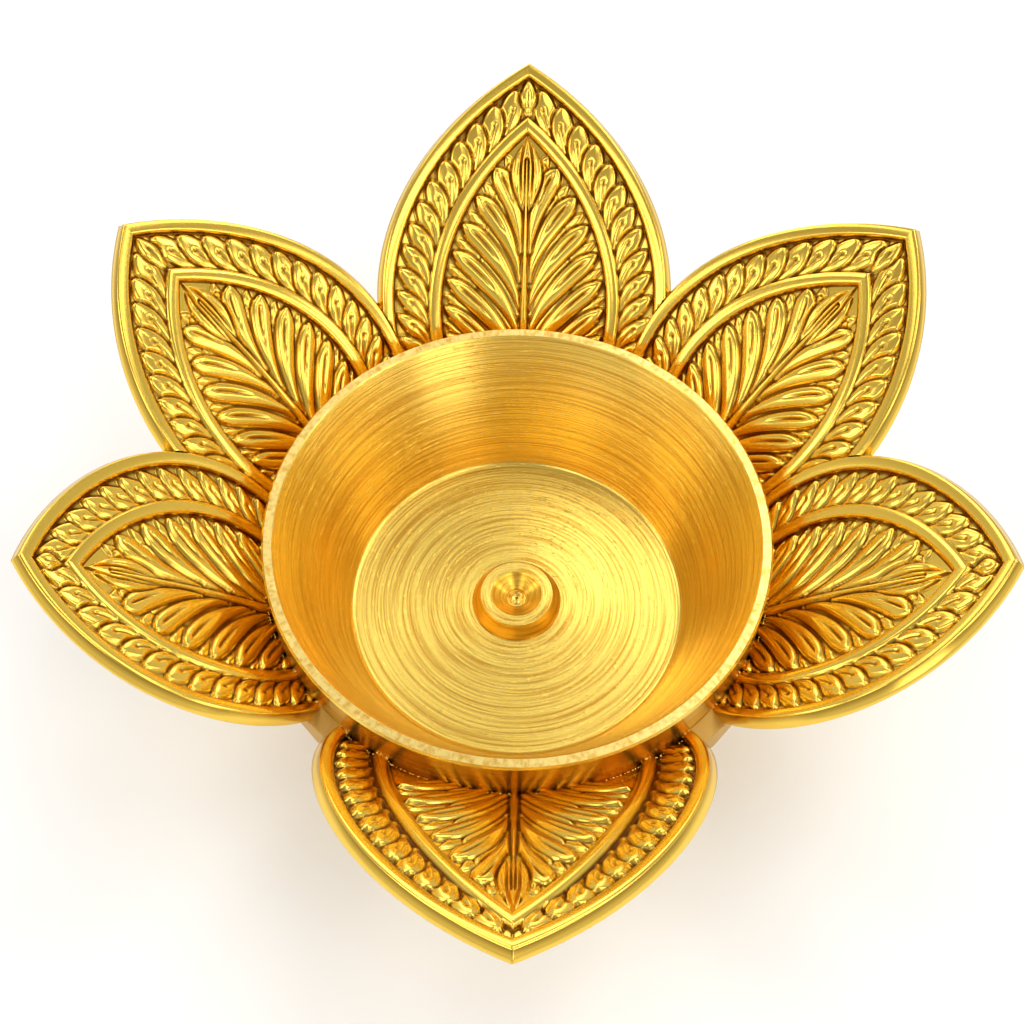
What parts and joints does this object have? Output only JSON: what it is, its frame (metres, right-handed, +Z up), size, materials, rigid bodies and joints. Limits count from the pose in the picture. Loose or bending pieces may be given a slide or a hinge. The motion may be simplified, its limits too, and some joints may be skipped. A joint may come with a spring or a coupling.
{
  "type": "oil lamp",
  "caption": "Brass lotus oil lamp: turned oil cup with a wick holder in its floor, ringed by upturned carved petals, on a low round foot.",
  "frame": {"origin": "on the ground plane, at the middle of the lamp's outline seen from above; the cup's axis stands 2.6 mm in front of it", "axes": "+Z up along the cup's axis, -Y towards the front petal, +X to the right"},
  "size_m": [0.1098, 0.1172, 0.0459],
  "materials": {
    "cast_brass": "cast relief, polished high points, satin recesses",
    "turned_brass": "bright turned, with fine circular tool marks",
    "plain_brass": "plain, slightly dull"
  },
  "bodies": {
    "root": {"oil_cup": "turned_brass", "wick_holder": "turned_brass", "petal_ring": "cast_brass", "petal_back": "cast_brass", "petal_back_left": "cast_brass", "petal_back_right": "cast_brass", "petal_front_left": "cast_brass", "petal_front_right": "cast_brass", "petal_front": "cast_brass", "foot": "turned_brass", "washer": "plain_brass", "nut": "plain_brass"}
  },
  "joints": []
}
